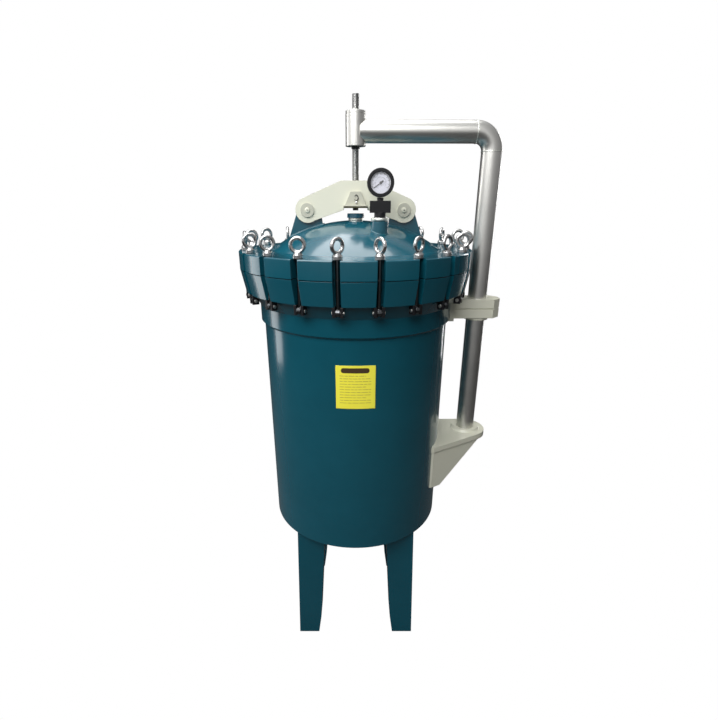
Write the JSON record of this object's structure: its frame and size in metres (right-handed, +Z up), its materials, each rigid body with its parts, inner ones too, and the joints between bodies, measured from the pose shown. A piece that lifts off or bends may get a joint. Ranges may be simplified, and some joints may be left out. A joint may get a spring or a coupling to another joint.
{
  "type": "cartridge filter housing",
  "caption": "Upright cylindrical filter vessel on four legs, domed lid held by swing bolts with eye nuts, lifted by a screw rod under a side davit.",
  "frame": {"origin": "middle of the four anchor holes, on the floor, under the vessel's axis", "axes": "+Z up along the vessel's axis, -Y towards the labelled front, +X towards the davit post"},
  "size_m": [0.8268, 0.7775, 1.809],
  "materials": {
    "teal_paint": "gloss",
    "cream_paint": "satin",
    "stainless": "satin",
    "bright_steel": "polished",
    "black_steel": "satin",
    "seal_rubber": "matte",
    "blue_cap": "gloss",
    "dial_white": "matte",
    "lens_glass": "clear",
    "label_yellow": "satin",
    "filter_fabric": "matte",
    "cap_plastic": "matte"
  },
  "bodies": {
    "vessel": {"vessel_shell": "teal_paint", "lid_seal": "seal_rubber", "pivot_lugs": "black_steel", "pivot_pins": "stainless", "leg_front_right": "teal_paint", "leg_back_right": "teal_paint", "leg_back_left": "teal_paint", "leg_front_left": "teal_paint", "inlet_nozzle": "teal_paint", "outlet_nozzle": "teal_paint", "davit_post": "stainless", "davit_elbow": "stainless", "davit_arm": "stainless", "davit_bush": "stainless", "upper_bracket": "cream_paint", "lower_bracket": "cream_paint", "post_washer": "seal_rubber", "tube_sheet": "stainless", "filter_media": "filter_fabric", "cartridge_caps": "cap_plastic", "hold_down_plate": "stainless", "label_plate": "label_yellow"},
    "lid": {"lid": "teal_paint", "lid_lugs": "teal_paint", "yoke_front_plate": "cream_paint", "yoke_back_plate": "cream_paint", "yoke_pins": "cream_paint", "yoke_clevis": "cream_paint", "lifting_rod": "stainless", "rod_nut": "black_steel", "vent_ring": "stainless", "gauge_boss": "teal_paint", "gauge_block": "black_steel", "gauge_case": "black_steel", "gauge_dial": "dial_white", "gauge_lens": "lens_glass"},
    "gauge_pointer": {"gauge_pointer": "black_steel"},
    "vent_plug": {"vent_plug": "blue_cap"},
    "lift_nut": {"lift_nut": "stainless"},
    "drain_plug": {"drain_plug": "stainless"},
    "swing_bolt_01": {"swing_bolt_01": "bright_steel"},
    "swing_bolt_02": {"swing_bolt_02": "bright_steel"},
    "swing_bolt_03": {"swing_bolt_03": "bright_steel"},
    "swing_bolt_04": {"swing_bolt_04": "bright_steel"},
    "swing_bolt_05": {"swing_bolt_05": "bright_steel"},
    "swing_bolt_06": {"swing_bolt_06": "bright_steel"},
    "swing_bolt_07": {"swing_bolt_07": "bright_steel"},
    "swing_bolt_08": {"swing_bolt_08": "bright_steel"},
    "swing_bolt_09": {"swing_bolt_09": "bright_steel"},
    "swing_bolt_10": {"swing_bolt_10": "bright_steel"},
    "swing_bolt_11": {"swing_bolt_11": "bright_steel"},
    "swing_bolt_12": {"swing_bolt_12": "bright_steel"},
    "swing_bolt_13": {"swing_bolt_13": "bright_steel"},
    "swing_bolt_14": {"swing_bolt_14": "bright_steel"},
    "swing_bolt_15": {"swing_bolt_15": "bright_steel"},
    "swing_bolt_16": {"swing_bolt_16": "bright_steel"},
    "swing_bolt_17": {"swing_bolt_17": "bright_steel"},
    "swing_bolt_18": {"swing_bolt_18": "bright_steel"},
    "swing_bolt_19": {"swing_bolt_19": "bright_steel"},
    "swing_bolt_20": {"swing_bolt_20": "bright_steel"}
  },
  "joints": [
    {"name": "lid_lift", "type": "slide", "parent": "vessel", "child": "lid", "axis": [0, 0, 1], "range_m": [0, 0.08]},
    {"name": "swing_bolt_01_swing", "type": "hinge", "parent": "vessel", "child": "swing_bolt_01", "pos_m": [0.33059, 0.06008, 1.262], "axis": [-0.1788, 0.9839, 0], "range_deg": [0, 176.5]},
    {"name": "swing_bolt_02_swing", "type": "hinge", "parent": "vessel", "child": "swing_bolt_02", "pos_m": [0.29584, 0.15929, 1.262], "axis": [-0.4741, 0.8805, 0], "range_deg": [0, 176.5]},
    {"name": "swing_bolt_03_swing", "type": "hinge", "parent": "vessel", "child": "swing_bolt_03", "pos_m": [0.23214, 0.24292, 1.262], "axis": [-0.723, 0.6909, 0], "range_deg": [0, 176.5]},
    {"name": "swing_bolt_04_swing", "type": "hinge", "parent": "vessel", "child": "swing_bolt_04", "pos_m": [0.14571, 0.30276, 1.262], "axis": [-0.9011, 0.4337, 0], "range_deg": [0, 176.5]},
    {"name": "swing_bolt_05_swing", "type": "hinge", "parent": "vessel", "child": "swing_bolt_05", "pos_m": [0.04502, 0.33297, 1.262], "axis": [-0.991, 0.134, 0], "range_deg": [0, 176.5]},
    {"name": "swing_bolt_06_swing", "type": "hinge", "parent": "vessel", "child": "swing_bolt_06", "pos_m": [-0.06008, 0.33059, 1.262], "axis": [-0.9839, -0.1788, 0], "range_deg": [0, 176.5]},
    {"name": "swing_bolt_07_swing", "type": "hinge", "parent": "vessel", "child": "swing_bolt_07", "pos_m": [-0.15929, 0.29584, 1.262], "axis": [-0.8805, -0.4741, 0], "range_deg": [0, 176.5]},
    {"name": "swing_bolt_08_swing", "type": "hinge", "parent": "vessel", "child": "swing_bolt_08", "pos_m": [-0.24292, 0.23214, 1.262], "axis": [-0.6909, -0.723, 0], "range_deg": [0, 176.5]},
    {"name": "swing_bolt_09_swing", "type": "hinge", "parent": "vessel", "child": "swing_bolt_09", "pos_m": [-0.30276, 0.14571, 1.262], "axis": [-0.4337, -0.9011, 0], "range_deg": [0, 176.5]},
    {"name": "swing_bolt_10_swing", "type": "hinge", "parent": "vessel", "child": "swing_bolt_10", "pos_m": [-0.33297, 0.04502, 1.262], "axis": [-0.134, -0.991, 0], "range_deg": [0, 176.5]},
    {"name": "swing_bolt_11_swing", "type": "hinge", "parent": "vessel", "child": "swing_bolt_11", "pos_m": [-0.33059, -0.06008, 1.262], "axis": [0.1788, -0.9839, 0], "range_deg": [0, 176.5]},
    {"name": "swing_bolt_12_swing", "type": "hinge", "parent": "vessel", "child": "swing_bolt_12", "pos_m": [-0.29584, -0.15929, 1.262], "axis": [0.4741, -0.8805, 0], "range_deg": [0, 176.5]},
    {"name": "swing_bolt_13_swing", "type": "hinge", "parent": "vessel", "child": "swing_bolt_13", "pos_m": [-0.23214, -0.24292, 1.262], "axis": [0.723, -0.6909, 0], "range_deg": [0, 176.5]},
    {"name": "swing_bolt_14_swing", "type": "hinge", "parent": "vessel", "child": "swing_bolt_14", "pos_m": [-0.14571, -0.30276, 1.262], "axis": [0.9011, -0.4337, 0], "range_deg": [0, 176.5]},
    {"name": "swing_bolt_15_swing", "type": "hinge", "parent": "vessel", "child": "swing_bolt_15", "pos_m": [-0.04502, -0.33297, 1.262], "axis": [0.991, -0.134, 0], "range_deg": [0, 176.5]},
    {"name": "swing_bolt_16_swing", "type": "hinge", "parent": "vessel", "child": "swing_bolt_16", "pos_m": [0.06008, -0.33059, 1.262], "axis": [0.9839, 0.1788, 0], "range_deg": [0, 176.5]},
    {"name": "swing_bolt_17_swing", "type": "hinge", "parent": "vessel", "child": "swing_bolt_17", "pos_m": [0.15929, -0.29584, 1.262], "axis": [0.8805, 0.4741, 0], "range_deg": [0, 176.5]},
    {"name": "swing_bolt_18_swing", "type": "hinge", "parent": "vessel", "child": "swing_bolt_18", "pos_m": [0.24292, -0.23214, 1.262], "axis": [0.6909, 0.723, 0], "range_deg": [0, 176.5]},
    {"name": "swing_bolt_19_swing", "type": "hinge", "parent": "vessel", "child": "swing_bolt_19", "pos_m": [0.30276, -0.14571, 1.262], "axis": [0.4337, 0.9011, 0], "range_deg": [0, 176.5]},
    {"name": "swing_bolt_20_swing", "type": "hinge", "parent": "vessel", "child": "swing_bolt_20", "pos_m": [0.33297, -0.04502, 1.262], "axis": [0.134, 0.991, 0], "range_deg": [0, 176.5]},
    {"name": "gauge_needle", "type": "hinge", "parent": "lid", "child": "gauge_pointer", "pos_m": [0.068, -0.13, 1.576], "axis": [0, 1, 0], "range_deg": [0, 250]},
    {"name": "vent_plug_turn", "type": "hinge", "parent": "lid", "child": "vent_plug", "pos_m": [0, 0, 1.48], "axis": [0, 0, 1], "continuous": true},
    {"name": "lift_nut_turn", "type": "hinge", "parent": "vessel", "child": "lift_nut", "pos_m": [0, 0, 1.76], "axis": [0, 0, 1], "continuous": true},
    {"name": "drain_plug_turn", "type": "hinge", "parent": "vessel", "child": "drain_plug", "pos_m": [0, 0, 0.36], "axis": [0, 0, 1], "continuous": true}
  ],
  "couplings": [
    {"joint": "swing_bolt_01_swing", "follows": "lid_lift", "rad_per_m": 38.397},
    {"joint": "swing_bolt_02_swing", "follows": "lid_lift", "rad_per_m": 38.397},
    {"joint": "swing_bolt_03_swing", "follows": "lid_lift", "rad_per_m": 38.397},
    {"joint": "swing_bolt_04_swing", "follows": "lid_lift", "rad_per_m": 38.397},
    {"joint": "swing_bolt_05_swing", "follows": "lid_lift", "rad_per_m": 38.397},
    {"joint": "swing_bolt_06_swing", "follows": "lid_lift", "rad_per_m": 38.397},
    {"joint": "swing_bolt_07_swing", "follows": "lid_lift", "rad_per_m": 38.397},
    {"joint": "swing_bolt_08_swing", "follows": "lid_lift", "rad_per_m": 38.397},
    {"joint": "swing_bolt_09_swing", "follows": "lid_lift", "rad_per_m": 38.397},
    {"joint": "swing_bolt_10_swing", "follows": "lid_lift", "rad_per_m": 38.397},
    {"joint": "swing_bolt_11_swing", "follows": "lid_lift", "rad_per_m": 38.397},
    {"joint": "swing_bolt_12_swing", "follows": "lid_lift", "rad_per_m": 38.397},
    {"joint": "swing_bolt_13_swing", "follows": "lid_lift", "rad_per_m": 38.397},
    {"joint": "swing_bolt_14_swing", "follows": "lid_lift", "rad_per_m": 38.397},
    {"joint": "swing_bolt_15_swing", "follows": "lid_lift", "rad_per_m": 38.397},
    {"joint": "swing_bolt_16_swing", "follows": "lid_lift", "rad_per_m": 38.397},
    {"joint": "swing_bolt_17_swing", "follows": "lid_lift", "rad_per_m": 38.397},
    {"joint": "swing_bolt_18_swing", "follows": "lid_lift", "rad_per_m": 38.397},
    {"joint": "swing_bolt_19_swing", "follows": "lid_lift", "rad_per_m": 38.397},
    {"joint": "swing_bolt_20_swing", "follows": "lid_lift", "rad_per_m": 38.397}
  ]
}
